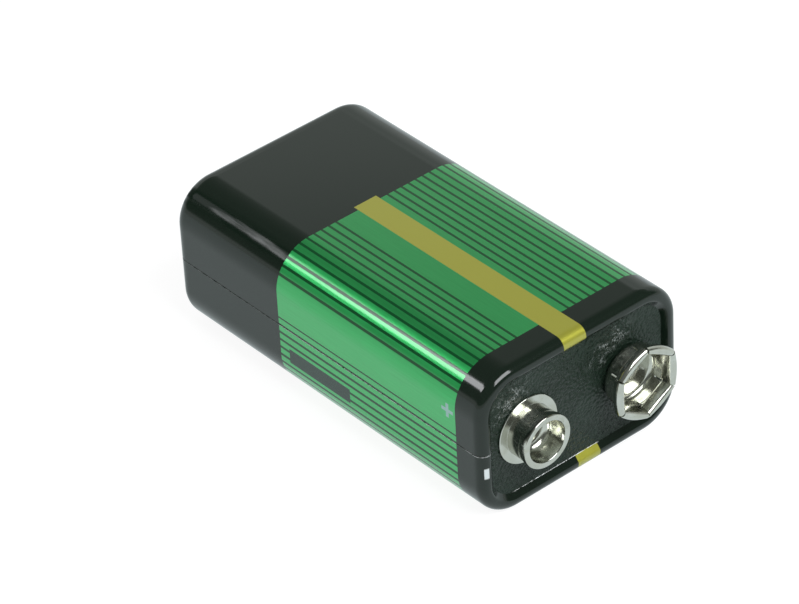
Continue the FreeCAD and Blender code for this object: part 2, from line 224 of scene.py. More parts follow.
class Field:
    """The output of a node, as a number that takes part in plain arithmetic."""

    def __init__(self, tree, socket):
        self.tree = tree
        self.socket = socket

    def math(self, operation, *others, clamp=False):
        inputs = dict(enumerate([self, *others]))
        node = add(self.tree, "ShaderNodeMath", inputs, operation=operation, use_clamp=clamp)
        return Field(self.tree, node.outputs[0])

    def __add__(self, other):
        return self.math("ADD", other)

    def __sub__(self, other):
        return self.math("SUBTRACT", other)

    def __rsub__(self, other):
        return self.math("MULTIPLY_ADD", -1.0, other)

    def __mul__(self, other):
        return self.math("MULTIPLY", other)

    def __truediv__(self, other):
        return self.math("DIVIDE", other)

    def __rtruediv__(self, other):
        return self.math("POWER", -1.0) * other

    def __neg__(self):
        return self * -1.0

def feed(tree, socket, value):
    """Links a field or a socket to an input, or sets the input to a plain value."""
    if isinstance(value, Field):
        value = value.socket
    if isinstance(value, bpy.types.NodeSocket):
        tree.links.new(value, socket)
    else:
        socket.default_value = value


def add(tree, kind, inputs=None, **options):
    """A new node with its options set and its inputs fed, by name or number."""
    node = tree.nodes.new(kind)
    for name, value in options.items():
        setattr(node, name, value)
    for key, value in (inputs or {}).items():
        feed(tree, node.inputs[key], value)
    return node


def parts(tree, vector):
    """The three coordinates of a vector as fields."""
    node = add(tree, "ShaderNodeSeparateXYZ", {0: vector})
    return [Field(tree, socket) for socket in node.outputs]


def new_tree(name, sizes):
    """A geometry tree with a named input for each size, and those inputs as fields."""
    tree = bpy.data.node_groups.new(name, "GeometryNodeTree")
    tree.interface.new_socket("Geometry", in_out="OUTPUT", socket_type="NodeSocketGeometry")
    for size in sizes:
        kind = "NodeSocketInt" if "Count" in size else "NodeSocketFloat"
        tree.interface.new_socket(size, in_out="INPUT", socket_type=kind)
    tree.interface.new_socket("Material", in_out="INPUT", socket_type="NodeSocketMaterial")
    inputs = tree.nodes.new("NodeGroupInput")
    return tree, [Field(tree, inputs.outputs[size]) for size in sizes], inputs.outputs["Material"]


def by_index(tree, values):
    """A field that takes one of some values at each point in turn."""
    switch = add(tree, "GeometryNodeIndexSwitch", data_type="FLOAT")
    for _ in values[2:]:
        switch.index_switch_items.new()
    feed(tree, switch.inputs[0], add(tree, "GeometryNodeInputIndex").outputs[0])
    for number, value in enumerate(values):
        feed(tree, switch.inputs[number + 1], value)
    return Field(tree, switch.outputs[0])


def filleted(tree, corners, count, closed=False):
    """A curve through (x, y, radius) corners, each rounded to its own radius."""
    xs, ys = (by_index(tree, [corner[axis] for corner in corners]) for axis in (0, 1))
    place = add(tree, "ShaderNodeCombineXYZ", {"X": xs, "Y": ys}).outputs[0]
    points = add(tree, "GeometryNodePoints", {"Count": len(corners), "Position": place}).outputs[0]
    weight = add(tree, "GeometryNodeInputIndex").outputs[0]
    points = {"Points": points, "Weight": weight}
    curve = add(tree, "GeometryNodePointsToCurves", points).outputs[0]
    curve = add(tree, "GeometryNodeSetSplineCyclic", {"Geometry": curve, "Cyclic": closed}).outputs[0]
    radii = by_index(tree, [corner[2] for corner in corners])
    inputs = {"Curve": curve, "Count": count, "Radius": radii, "Limit Radius": False}
    return add(tree, "GeometryNodeFilletCurve", inputs, mode="POLY").outputs[0]


def swept(tree, path, profile):
    """Carries a profile along a path. Gives the mesh and, at each of its points, the place on the
    path, the place on the profile and the length run along the path."""
    place = add(tree, "GeometryNodeInputPosition").outputs[0]
    run = add(tree, "GeometryNodeSplineParameter").outputs["Length"]
    along = add(tree, "GeometryNodeCaptureAttribute", {0: path})
    along.capture_items.new("VECTOR", "place")
    along.capture_items.new("FLOAT", "run")
    feed(tree, along.inputs[1], place)
    feed(tree, along.inputs[2], run)
    across = add(tree, "GeometryNodeCaptureAttribute", {0: profile})
    across.capture_items.new("VECTOR", "place")
    feed(tree, across.inputs[1], place)
    sweep = {"Curve": along.outputs[0], "Profile Curve": across.outputs[0]}
    mesh = add(tree, "GeometryNodeCurveToMesh", sweep).outputs[0]
    return mesh, parts(tree, along.outputs[1]), parts(tree, across.outputs[1]), along.outputs[2]


def placed(tree, mesh, x, y, z):
    """A mesh with its points put at three fields."""
    place = add(tree, "ShaderNodeCombineXYZ", {"X": x, "Y": y, "Z": z}).outputs[0]
    return add(tree, "GeometryNodeSetPosition", {"Geometry": mesh, "Position": place}).outputs[0]


def end_tree(tree, mesh, material):
    """Ends a tree with real instances, welded points and the piece's material."""
    mesh = add(tree, "GeometryNodeRealizeInstances", {0: mesh}).outputs[0]
    mesh = add(tree, "GeometryNodeMergeByDistance", {"Geometry": mesh, "Distance": WELD}).outputs[0]
    mesh = add(tree, "GeometryNodeSetMaterial", {"Geometry": mesh, "Material": material}).outputs[0]
    feed(tree, add(tree, "NodeGroupOutput").inputs[0], mesh)
    return tree


def plain_mesh(piece, place):
    """Makes a piece's modified shape a plain mesh in metres, closed and facing outwards."""
    graph = bpy.context.evaluated_depsgraph_get()
    mesh = bpy.data.meshes.new_from_object(piece.evaluated_get(graph))
    piece.modifiers.clear()
    piece.data = mesh
    mesh.name = piece.name
    shell = bmesh.new()
    shell.from_mesh(mesh)
    bmesh.ops.recalc_face_normals(shell, faces=shell.faces)
    shell.to_mesh(mesh)
    shell.free()
    mesh.transform(Matrix.Scale(MM, 4) @ Matrix.Translation(Vector(place)))
    mesh.shade_smooth()
    mesh.set_sharp_from_angle(angle=math.radians(CREASE_ANGLE))
    return piece


def grow(name, tree, sizes, material, place, wall=0):
    """Runs a tree with its sizes in millimetres, and keeps the result as a plain piece."""
    piece = bpy.data.objects.new(name, bpy.data.meshes.new(name))
    bpy.context.collection.objects.link(piece)
    shape = piece.modifiers.new("shape", "NODES")
    shape.node_group = tree
    values = {**sizes, "Material": material}
    for item in tree.interface.items_tree:
        if item.in_out == "INPUT":
            shape[item.identifier] = values[item.name]
    if wall:
        sheet = piece.modifiers.new("wall", "SOLIDIFY")
        sheet.thickness = wall
        sheet.offset = 0
        sheet.use_even_offset = True
    return plain_mesh(piece, place)


def rolled_sheet():
    """A tree for the jacket: one sheet round a rounded rectangle, rolled over at both ends. The sweep
    gives faces that look inwards, so the seam's groove is pushed along their normals."""
    names = ["Width", "Depth", "Corner Radius", "Length", "Sheet", "Base Bend Radius"]
    names += ["Top Bend Radius", "Hook Radius", "Lip Turn", "Top Recess", "Base Recess"]
    names += ["Seam Width", "Seam Depth", "Corner Count", "Bend Count"]
    tree, sizes, material = new_tree("rolled sheet", names)
    width, depth, corner, length, sheet, base_bend, top_bend, hook, lip_turn = sizes[:9]
    top, base, seam, groove, corner_count, bend_count = sizes[9:]
    right, up = width / 2, depth / 2
    left, down = -right, -up
    in_y, in_z = right - corner - TANGENT, up - corner - TANGENT
    lip = seam / 2 - GROOVE_WALL
    path = [
        (left, 0.0, 0.0),
        (left, lip, 0.0),
        (left, seam / 2, 0.0),
        (left, in_z, 0.0),
        (left, up, corner),
        (-in_y, up, 0.0),
        (in_y, up, 0.0),
        (right, up, corner),
        (right, in_z, 0.0),
        (right, -in_z, 0.0),
        (right, down, corner),
        (in_y, down, 0.0),
        (-in_y, down, 0.0),
        (left, down, corner),
        (left, -in_z, 0.0),
        (left, seam / -2, 0.0),
        (left, -lip, 0.0),
        (left, 0.0, 0.0),
    ]
    foot = corner - base_bend - hook
    low, high = base_bend + TANGENT, length - top_bend - TANGENT
    inner_hook, inside, inner_foot = hook - sheet, corner - sheet, foot + sheet
    crest, half_turn, slope = corner - top_bend, (lip_turn / 2).math("TANGENT"), lip_turn.math("TANGENT")
    brow, inner_brow = crest - hook * half_turn, crest - inner_hook * half_turn
    profile = [
        (length - top, brow - top / slope, 0.0),
        (length, brow, hook),
        (length, corner, top_bend),
        (high, corner, 0.0),
        (low, corner, 0.0),
        (0.0, corner, base_bend),
        (0.0, foot, hook),
        (base, foot, 0.0),
        (base, inner_foot, 0.0),
        (sheet, inner_foot, inner_hook),
        (sheet, inside, base_bend - sheet),
        (low, inside, 0.0),
        (high, inside, 0.0),
        (length - sheet, inside, top_bend - sheet),
        (length - sheet, inner_brow, inner_hook),
        (length - top, inner_brow - (top - sheet) / slope, 0.0),
    ]
    path = filleted(tree, path, corner_count)
    profile = filleted(tree, profile, bend_count, closed=True)
    outer = add(tree, "GeometryNodeSplineParameter").outputs["Factor"]
    outer = Field(tree, outer).math("LESS_THAN", 0.5)
    marked = add(tree, "GeometryNodeCaptureAttribute", {0: profile})
    marked.capture_items.new("FLOAT", "outer")
    feed(tree, marked.inputs[1], outer)
    mesh, (path_y, path_z, _), (x, reach, _), run = swept(tree, path, marked.outputs[0])
    flat_y, flat_z = right - corner, up - corner
    centre_y = path_y.math("MINIMUM", flat_y).math("MAXIMUM", -flat_y)
    centre_z = path_z.math("MINIMUM", flat_z).math("MAXIMUM", -flat_z)
    share = reach / corner
    y = centre_y + (path_y - centre_y) * share
    z = centre_z + (path_z - centre_z) * share
    mesh = placed(tree, mesh, x, y, z)
    girth = {"Geometry": mesh, "Name": "girth", "Value": run}
    mesh = add(tree, "GeometryNodeStoreNamedAttribute", girth).outputs[0]
    in_seam = path_z.math("ABSOLUTE").math("LESS_THAN", lip + GROOVE_WALL / 2)
    in_seam = in_seam * path_y.math("LESS_THAN", 0.0) * Field(tree, marked.outputs[1])
    normal = add(tree, "GeometryNodeInputNormal").outputs[0]
    push = add(tree, "ShaderNodeVectorMath", {0: normal}, operation="SCALE")
    feed(tree, push.inputs["Scale"], in_seam * groove)
    groove_move = {"Geometry": mesh, "Offset": push.outputs[0]}
    mesh = add(tree, "GeometryNodeSetPosition", groove_move).outputs[0]
    return end_tree(tree, mesh, material)


def turned(tree, profile, count):
    """A (height, radius) profile turned about an axis along X."""
    circle = {"Resolution": count, "Radius": 1.0}
    circle = add(tree, "GeometryNodeCurvePrimitiveCircle", circle, mode="RADIUS").outputs[0]
    mesh, (cosine, sine, _), (height, radius, _), _ = swept(tree, circle, profile)
    return placed(tree, mesh, height, radius * cosine, radius * sine)


def turned_stud():
    """A tree for the smaller contact: a drawn hollow stud on a thin flange."""
    names = ["Height", "Head Radius", "Head Length", "Head Round", "Mouth Radius", "Mouth Round"]
    names += ["Well Round", "Neck Radius", "Flare", "Floor", "Flange Radius", "Flange Height"]
    names += ["Shank Radius", "Turn Count", "Bend Count"]
    tree, sizes, material = new_tree("turned stud", names)
    height, head, head_length, head_round, mouth, mouth_round, well_round, neck, flare = sizes[:9]
    floor, flange, flange_height, shank, turn_count, bend_count = sizes[9:]
    edge = flange_height / 2 - NO_EDGE
    profile = [
        (0.0, shank, 0.0),
        (0.0, flange, edge),
        (flange_height, flange, edge),
        (flange_height, neck, FLANGE_COVE),
        (height - head_length - flare, neck, FLARE_ROUND),
        (height - head_length, head, FLARE_ROUND),
        (height, head, head_round),
        (height, mouth, mouth_round),
        (floor, mouth, well_round),
        (floor, shank, 0.0),
    ]
    mesh = turned(tree, filleted(tree, profile, bend_count, closed=True), turn_count)
    return end_tree(tree, mesh, material)


def tubular_rivet():
    """A tree for a rivet through a contact's floor and the board: a domed head with a deep bore."""
    names = ["Floor", "Head Radius", "Head Height", "Bore Radius", "Bore Depth", "Shank Radius"]
    names += ["Length", "Turn Count", "Bend Count"]
    tree, sizes, material = new_tree("tubular rivet", names)
    floor, head, head_height, bore, bore_depth, shank, length = sizes[:7]
    top = floor + head_height
    profile = [
        (top - bore_depth, 0.0, 0.0),
        (top - bore_depth, bore, bore * 0.6),
        (top, bore, head_height * 0.6),
        (top, head, head_height * 0.9),
        (floor, head, 0.0),
        (floor, shank, 0.0),
        (-length, shank, 0.0),
        (-length, 0.0, 0.0),
    ]
    mesh = turned(tree, filleted(tree, profile, sizes[8]), sizes[7])
    return end_tree(tree, mesh, material)


def petal_socket():
    """A tree for the larger contact: a cup that passes into six flared petals with rolled hems.
    It makes the middle of the sheet, which gets its thickness afterwards."""
    names = ["Height", "Sheet", "Cup Radius", "Cup Round", "Cup Height", "Waist Height"]
    names += ["Waist Apothem", "Roll Radius", "Roll Apothem", "Roll Corner", "Hem Length", "Slit"]
    names += ["Slit Foot", "Shank Radius", "Petal Count", "Width Count", "Bend Count"]
    tree, sizes, material = new_tree("petal socket", names)
    height, sheet, cup, cup_round, cup_height, waist_height, waist = sizes[:7]
    roll, roll_apothem, roll_corner, hem, slit, slit_foot, shank, petals, wide, count = sizes[7:]
    half = sheet / 2
    rise = height - roll - waist_height
    spread = roll_apothem - waist
    slope = (rise * rise + spread * spread).math("SQRT")
    lean = spread.math("ARCTAN2", rise) - (roll / slope).math("ARCSINE")
    up_x, up_r = lean.math("COSINE"), lean.math("SINE")
    middle = roll - half
    roll_x, roll_r = height - roll - ROLL_SINK, roll_apothem

    def leaned(along, out):
        return roll_x + up_x * along - up_r * out, roll_r + up_r * along + up_x * out

    profile = [
        (half, shank, 0.0),
        (half, cup - half, cup_round - half),
        (slit_foot, cup - half, 0.0),
        (slit_foot + SLIT_STEP, cup - half, 0.0),
        (cup_height, cup - half, WAIST_ROUND),
        (waist_height, waist + half, WAIST_ROUND),
        (*leaned(middle, -middle), middle * ROLL_SHARE),
        (*leaned(middle, middle), middle * ROLL_SHARE),
        (*leaned(-hem, middle), 0.0),
    ]
    profile = filleted(tree, profile, count)
    profile = add(tree, "GeometryNodeSubdivideCurve", {"Curve": profile, "Cuts": 1}).outputs[0]
    line = {"Start": (-1.0, 0.0, 0.0), "End": (1.0, 0.0, 0.0)}
    line = add(tree, "GeometryNodeCurvePrimitiveLine", line).outputs[0]
    line = add(tree, "GeometryNodeResampleCurve", {"Curve": line, "Count": wide}).outputs[0]
    mesh, (across, _, _), (x, reach, _), _ = swept(tree, line, profile)
    turn = math.tau / petals
    blend = (x - cup_height) / (waist_height - cup_height)
    blend = blend.math("MAXIMUM", 0.0).math("MINIMUM", 1.0)
    waist_edge, brim = waist + sheet, roll_apothem + middle
    drawn = ((reach - waist_edge) / (brim - waist_edge)).math("MAXIMUM", 0.0).math("MINIMUM", 1.0)
    corner = (turn / 2).math("COSINE")
    straight = 1.0 / corner - 1.0
    blend = blend * (1.0 - drawn * (1.0 - ((roll_corner - half) / brim - 1.0) / straight))
    cut = x.math("GREATER_THAN", slit_foot + SLIT_STEP / 2)
    angle = across * (turn / 2 - cut * (slit / 2) / reach)
    cosine = angle.math("COSINE")
    radius = reach * (blend / cosine + 1.0 - blend)
    mesh = placed(tree, mesh, x, radius * cosine, radius * angle.math("SINE"))
    spots = add(tree, "GeometryNodePoints", {"Count": petals}).outputs[0]
    number = Field(tree, add(tree, "GeometryNodeInputIndex").outputs[0])
    rotation = add(tree, "ShaderNodeCombineXYZ", {"X": number * turn}).outputs[0]
    crown = {"Points": spots, "Instance": mesh, "Rotation": rotation}
    return end_tree(tree, add(tree, "GeometryNodeInstanceOnPoints", crown).outputs[0], material)


def surface(name):
    """A new material, its tree and its Principled shader."""
    material = bpy.data.materials.new(name)
    material.use_nodes = True
    return material, material.node_tree, material.node_tree.nodes["Principled BSDF"]


def above(value, low, soft):
    """A mask that is 1 where a field is over a value, with an edge that soft."""
    return value.math("MULTIPLY_ADD", 1 / soft, 0.5 - low / soft, clamp=True)


def below(value, high, soft):
    """A mask that is 1 where a field is under a value, with an edge that soft."""
    return value.math("MULTIPLY_ADD", -1 / soft, 0.5 + high / soft, clamp=True)


def between(value, low, high, soft):
    """A mask that is 1 where a field lies between two values, with edges that soft."""
    return above(value, low, soft) * below(value, high, soft)


def over(tree, mask, under, top):
    """One colour or value laid over another where a mask is 1."""
    node = add(tree, "ShaderNodeMix", {0: mask, 6: under, 7: top}, data_type="RGBA")
    return node.outputs[2]


def either(*masks):
    """A mask that is 1 where any of some masks is."""
    total = masks[0]
    for mask in masks[1:]:
        total = total.math("MAXIMUM", mask)
    return total


def object_millimetres(tree):
    """The place on a piece as three fields in millimetres of the row frame."""
    place = add(tree, "ShaderNodeTexCoord").outputs["Object"]
    return [part / MM for part in parts(tree, place)]


def noise(tree, scale, detail=3, stretch=(1, 1, 1)):
    """A soft random field, with its scale in waves per millimetre."""
    place = add(tree, "ShaderNodeTexCoord").outputs["Object"]
    scaled = add(tree, "ShaderNodeMapping", {"Vector": place, "Scale": stretch}).outputs[0]
    inputs = {"Vector": scaled, "Scale": scale / MM, "Detail": detail}
    return Field(tree, add(tree, "ShaderNodeTexNoise", inputs).outputs["Fac"])


def smudge_group():
    """A shader group for what handling leaves: broad smears with fine specks in them."""
    tree = bpy.data.node_groups.new("smudges", "ShaderNodeTree")
    for name in ("Smear Scale", "Speck Scale", "Speck Amount"):
        tree.interface.new_socket(name, in_out="INPUT", socket_type="NodeSocketFloat")
    tree.interface.new_socket("Mask", in_out="OUTPUT", socket_type="NodeSocketFloat")
    inputs = add(tree, "NodeGroupInput")
    smear_scale, speck_scale, amount = (Field(tree, socket) for socket in inputs.outputs[:3])
    place = add(tree, "ShaderNodeTexCoord").outputs["Object"]
    smear = {"Vector": place, "Scale": smear_scale / MM, "Detail": 3.0, "Distortion": 0.6}
    smear = Field(tree, add(tree, "ShaderNodeTexNoise", smear).outputs["Fac"])
    speck = {"Vector": place, "Scale": speck_scale / MM, "Detail": 1.0}
    speck = Field(tree, add(tree, "ShaderNodeTexNoise", speck).outputs["Fac"])
    soft = smear.math("MULTIPLY_ADD", 2.4, -0.75, clamp=True)
    sharp = speck.math("MULTIPLY_ADD", 12.0, -8.0, clamp=True)
    feed(tree, add(tree, "NodeGroupOutput").inputs[0], soft + sharp * amount)
    return tree


def grain_group():
    """A shader group for a moulded grain: pebbles with creases between them, as a height."""
    tree = bpy.data.node_groups.new("moulded grain", "ShaderNodeTree")
    for name in ("Pebble Scale", "Crease Depth"):
        tree.interface.new_socket(name, in_out="INPUT", socket_type="NodeSocketFloat")
    tree.interface.new_socket("Height", in_out="OUTPUT", socket_type="NodeSocketFloat")
    inputs = add(tree, "NodeGroupInput")
    scale, depth = (Field(tree, socket) for socket in inputs.outputs[:2])
    place = add(tree, "ShaderNodeTexCoord").outputs["Object"]
    warp = {"Vector": place, "Scale": scale / MM * 0.5, "Detail": 2.0}
    warp = add(tree, "ShaderNodeTexNoise", warp).outputs["Color"]
    bent = {0: warp, 1: (0.0003, 0.0003, 0.0003), 2: place}
    bent = add(tree, "ShaderNodeVectorMath", bent, operation="MULTIPLY_ADD").outputs[0]
    cells = {"Vector": bent, "Scale": scale / MM, "Smoothness": 0.4}
    cells = add(tree, "ShaderNodeTexVoronoi", cells, feature="SMOOTH_F1").outputs["Distance"]
    fine = {"Vector": place, "Scale": scale / MM * 3.0, "Detail": 2.0}
    fine = Field(tree, add(tree, "ShaderNodeTexNoise", fine).outputs["Fac"])
    height = fine * 0.35 - Field(tree, cells) * depth
    feed(tree, add(tree, "NodeGroupOutput").inputs[0], height)
    return tree


def grouped(tree, group, *values):
    """The first output of a shader group placed with its own values."""
    node = add(tree, "ShaderNodeGroup", node_tree=group)
    for socket, value in zip(node.inputs, values):
        socket.default_value = value
    return Field(tree, node.outputs[0])


def bumped(tree, shader, height, distance):
    """Gives a shader a fine relief, with its depth in millimetres."""
    bump = {"Strength": 1.0, "Distance": distance * MM, "Height": height}
    feed(tree, shader.inputs["Normal"], add(tree, "ShaderNodeBump", bump).outputs[0])


def ruled_lines(round_the_print):
    """A mask of the fine dark lines in their two groups, with a plain strip beside the gold band."""
    groups = []
    for first, last, pitch in (NEAR_LINES, FAR_LINES):
        phase = (round_the_print - first) / pitch
        distance = (phase - phase.math("ROUND")).math("ABSOLUTE") * pitch
        line = below(distance, LINE_WIDTH / 2, PRINT_SOFT)
        groups.append(line * between(round_the_print, first - pitch / 2, last + pitch / 2, PRINT_SOFT))
    return either(*groups) * (1.0 - between(round_the_print, *PLAIN_STRIP, PRINT_SOFT))


def plus_mark(x, run):
    """A mask of the plus sign on the smaller contact's side."""
    bars = []
    for along, across in ((PLUS_ARM, PLUS_BAR), (PLUS_BAR, PLUS_ARM)):
        bar = between(x, PLUS_X - along, PLUS_X + along, PRINT_SOFT)
        bars.append(bar * between(run, PLUS_RUN - across, PLUS_RUN + across, PRINT_SOFT))
    return either(*bars)


def bare_metal(tree, x, y, z, field):
    """A mask of the tinplate along the seam and the cut edge, and of one bright bare-tin patch on the
    contact end's rim.
    """
    worn = noise(tree, 1.6, 3).math("MULTIPLY_ADD", 5.0, -1.9, clamp=True)
    side = y.math("LESS_THAN", -CASE_WIDTH / 2 + SIDE_SKIN)
    seam = between(z - AXIS_Z, *SEAM_BARE, 0.03) * either(side, x.math("GREATER_THAN", SEAM_BARE_START))
    bright = x.math("GREATER_THAN", SEAM_BRIGHT_START)
    share = either(field * (1 - SEAM_IN_BLACK) + SEAM_IN_BLACK, bright)
    seam = seam * worn * share * y.math("LESS_THAN", 0.0)
    # a bright patch of bare-tin colour at one spot on the contact end's rim
    spot = between(z, *TIN_SPOT_Z, 0.15) * between(y, *TIN_SPOT_Y, 0.06)
    spot = spot * x.math("GREATER_THAN", TIN_SPOT_START)
    cut = between(x, *CUT_BAND, 0.02) * between(y, *CUT_SEEN, 0.5)
    return either(seam, spot, cut * z.math("LESS_THAN", CUT_TOP) * worn)


def scuffs(tree, x, run, field):
    """A mask of the dulled streaks along the upper corner of the black end."""
    streaks = noise(tree, 1.3, 4, (0.1, 1, 1)).math("MULTIPLY_ADD", 5.0, -1.6, clamp=True)
    elsewhere = either(field, x.math("GREATER_THAN", CORNER_WEAR_END))
    return streaks * between(run, *WORN_CORNER, 0.8) * (1.0 - elsewhere)


def lacquered_sheet(smudges):
    """Tinplate under printed lacquer: black ends, a green field ruled with fine lines and a gold band."""
    material, tree, shader = surface("lacquered sheet")
    x, y, z = object_millimetres(tree)
    x = x - BASE_X
    run = Field(tree, add(tree, "ShaderNodeAttribute", attribute_name="girth").outputs["Fac"])
    round_the_print = (SEAM_GIRTH - run).math("WRAP", PRINT_TOP, PRINT_TOP - PRINT_PERIOD)
    field = between(x, FIELD_START, FIELD_END, PRINT_SOFT)
    on_gold = round_the_print - run.math("GREATER_THAN", PRINT_PERIOD) * SECOND_GOLD_SHIFT
    gold = between(on_gold, *GOLD_BAND, PRINT_SOFT) * above(x, GOLD_START, PRINT_SOFT)
    plus = plus_mark(x, run)
    box = between(x, *BOX_X, PRINT_SOFT) * between(run, *BOX_RUN, PRINT_SOFT)
    green = field * (1.0 - ruled_lines(round_the_print)) * (1.0 - box)
    rolled = noise(tree, 1.1, 2, (0.25, 9, 9))
    bare = bare_metal(tree, x, y, z, field)
    colour = over(tree, field, BLACK_INK, LINE_INK)
    colour = over(tree, green, colour, over(tree, rolled, GREEN_DEEP, GREEN_LIGHT))
    colour = over(tree, gold, colour, GOLD_INK)
    colour = over(tree, box, colour, BOX_INK)
    colour = over(tree, plus, colour, PLUS_INK)
    feed(tree, shader.inputs["Base Color"], over(tree, bare, colour, BARE_TIN))
    gleam = green * (1.0 - gold) + gold * GOLD_GLEAM
    feed(tree, shader.inputs["Metallic"], either(gleam * PRINT_GLEAM, bare) * (1.0 - plus))
    handled = grouped(tree, smudges, 0.12, 2.2, 0.5)
    feed(tree, shader.inputs["Roughness"], handled * 0.05 + PRINT_ROUGHNESS)
    shader.inputs["Specular IOR Level"].default_value = 0.0
    feed(tree, shader.inputs["Coat Weight"], 1.0 - scuffs(tree, x, run, field) * SCUFF_LOSS)
    shader.inputs["Coat Roughness"].default_value = COAT_ROUGHNESS
    bumped(tree, shader, rolled + noise(tree, 0.35, 2) * 2.0, 0.004)
    return material


def painted_grain_glints(tree):
    """Pale curls painted into the grain beside each contact, as painted glints of the key lamp."""
    _, y, z = object_millimetres(tree)
    near = []
    for side in (-CONTACT_Y, CONTACT_Y):
        across, up = y - side, z - AXIS_Z
        reach = (across * across + up * up).math("SQRT")
        facing = (across * GLINT_WAY[0] + up * GLINT_WAY[1]) / reach
        near.append(between(reach, *GLINT_REACH, GLINT_SOFT) * above(facing, GLINT_FACING, 0.12))
    curls = (noise(tree, 3.2, 2) - 0.5).math("ABSOLUTE").math("MULTIPLY_ADD", -24.0, 1.0, clamp=True)
    patches = noise(tree, 1.1, 2).math("MULTIPLY_ADD", 8.0, -3.6, clamp=True)
    return either(*near) * curls * patches


def moulded(name, colours, grain, smudges, pebble, crease, depth, roughness, gloss, painted_glints=False):
    """A moulded plastic with a pebbled grain, mottled between two colours, and painted glints where
    asked.
    """
    material, tree, shader = surface(name)
    height = grouped(tree, grain, pebble, crease)
    handled = grouped(tree, smudges, 0.25, 3.0, 0.6)
    colour = over(tree, handled, *colours)
    if painted_glints:
        # painted glints laid over the grain's colour beside the contacts
        colour = over(tree, painted_grain_glints(tree), colour, PAINTED_GLINT_GREY)
    feed(tree, shader.inputs["Base Color"], colour)
    feed(tree, shader.inputs["Roughness"], handled * 0.12 + roughness)
    shader.inputs["Specular IOR Level"].default_value = gloss
    bumped(tree, shader, height, depth)
    return material


def plated(name, colour, tarnish, roughness, smudges):
    """A plated metal with faint drawing marks and a little tarnish in its smears."""
    material, tree, shader = surface(name)
    handled = grouped(tree, smudges, 0.5, 4.0, 0.4)
    feed(tree, shader.inputs["Base Color"], over(tree, handled, colour, tarnish))
    shader.inputs["Metallic"].default_value = 1.0
    feed(tree, shader.inputs["Roughness"], handled * 0.08 + roughness)
    bumped(tree, shader, noise(tree, 2.5) + noise(tree, 0.8, 2) * 2.0, 0.006)
    return material


def mottled(name, low, high, scale, roughness, metal, depth):
    """A plain finish for the pieces inside: two tones of one colour, with a fine tooth."""
    material, tree, shader = surface(name)
    spread = noise(tree, scale, 4)
    contrast = spread.math("MULTIPLY_ADD", 2.5, -0.75, clamp=True)
    feed(tree, shader.inputs["Base Color"], over(tree, contrast, low, high))
    shader.inputs["Metallic"].default_value = metal
    feed(tree, shader.inputs["Roughness"], spread * 0.15 + roughness)
    bumped(tree, shader, spread, depth)
    return material


smudges = smudge_group()
grain = grain_group()
lacquer = lacquered_sheet(smudges)
nickel = plated("bright nickel", (0.60, 0.61, 0.56, 1), (0.50, 0.50, 0.43, 1), 0.13, smudges)
rivet_metal = plated("tinned rivet", (0.58, 0.59, 0.54, 1), (0.48, 0.48, 0.41, 1), 0.14, smudges)
brass = plated("tinned brass", (0.66, 0.62, 0.50, 1), (0.48, 0.42, 0.30, 1), 0.25, smudges)
board_finish = moulded(
    "terminal board moulding",
    ((0.008, 0.016, 0.010, 1), (0.014, 0.026, 0.018, 1)),
    grain,
    smudges,
    pebble=3.0,
    crease=1.1,
    depth=0.12,
    roughness=0.2,
    gloss=0.24,
    # painted glints beside the contacts
    painted_glints=True,
)
base_finish = moulded(
    "base plate moulding",
    ((0.014, 0.016, 0.016, 1), (0.026, 0.028, 0.028, 1)),
    grain,
    smudges,
    pebble=2.4,
    crease=0.5,
    depth=0.02,
    roughness=0.42,
    gloss=0.5,
)
node_finishes = {
    "terminal_board": board_finish,
    "bottom_plate": base_finish,
    "positive_collector": brass,
    "negative_collector": brass,
    "top_card": mottled("card", (0.35, 0.27, 0.17, 1), (0.45, 0.36, 0.24, 1), 3, 0.75, 0, 0.02),
    "stack_sleeve": mottled("film", (0.55, 0.55, 0.52, 1), (0.62, 0.62, 0.6, 1), 0.5, 0.3, 0, 0.02),
    "envelope": mottled("tray plastic", (0.5, 0.48, 0.42, 1), (0.6, 0.58, 0.52, 1), 1, 0.45, 0, 0.01),
    "zinc": mottled("zinc plate", (0.33, 0.35, 0.37, 1), (0.5, 0.52, 0.54, 1), 0.8, 0.4, 1, 0.01),
    "separator": mottled("pasted paper", (0.6, 0.56, 0.46, 1), (0.74, 0.7, 0.6, 1), 2.5, 0.85, 0, 0.02),
    "cake": mottled("black mix", (0.01, 0.01, 0.011, 1), (0.03, 0.03, 0.032, 1), 4, 0.8, 0, 0.04),
}
node_finishes["bottom_card"] = node_finishes["jacket_liner"] = node_finishes["top_card"]
for name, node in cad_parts.items():
    finish = node_finishes.get(name) or node_finishes.get(name.split("_")[-1])
    if finish:
        for place in node.material_slots:
            place.material = finish

jacket_sizes = {
    "Width": CASE_WIDTH,
    "Depth": CASE_DEPTH,
    "Corner Radius": CORNER_RADIUS,
    "Length": CASE_LENGTH,
    "Sheet": SHEET,
    "Base Bend Radius": BASE_BEND_RADIUS,
    "Top Bend Radius": TOP_BEND_RADIUS,
    "Hook Radius": HOOK_RADIUS,
    "Lip Turn": math.radians(LIP_TURN),
    "Top Recess": TOP_RECESS,
    "Base Recess": BASE_RECESS,
    "Seam Width": SEAM_WIDTH,
    "Seam Depth": SEAM_DEPTH,
    "Corner Count": 18,
    "Bend Count": 9,
}
stud_sizes = {
    "Height": STUD_HEIGHT,
    "Head Radius": STUD_HEAD_RADIUS,
    "Head Length": STUD_HEAD_LENGTH,
    "Head Round": STUD_HEAD_ROUND,
    "Mouth Radius": STUD_MOUTH_RADIUS,
    "Mouth Round": STUD_MOUTH_ROUND,
    "Well Round": STUD_WELL_ROUND,
    "Neck Radius": STUD_NECK_RADIUS,
    "Flare": STUD_FLARE,
    "Floor": STUD_FLOOR,
    "Flange Radius": FLANGE_RADIUS,
    "Flange Height": FLANGE_HEIGHT,
    "Shank Radius": SHANK_RADIUS,
    "Turn Count": 96,
    "Bend Count": 6,
}
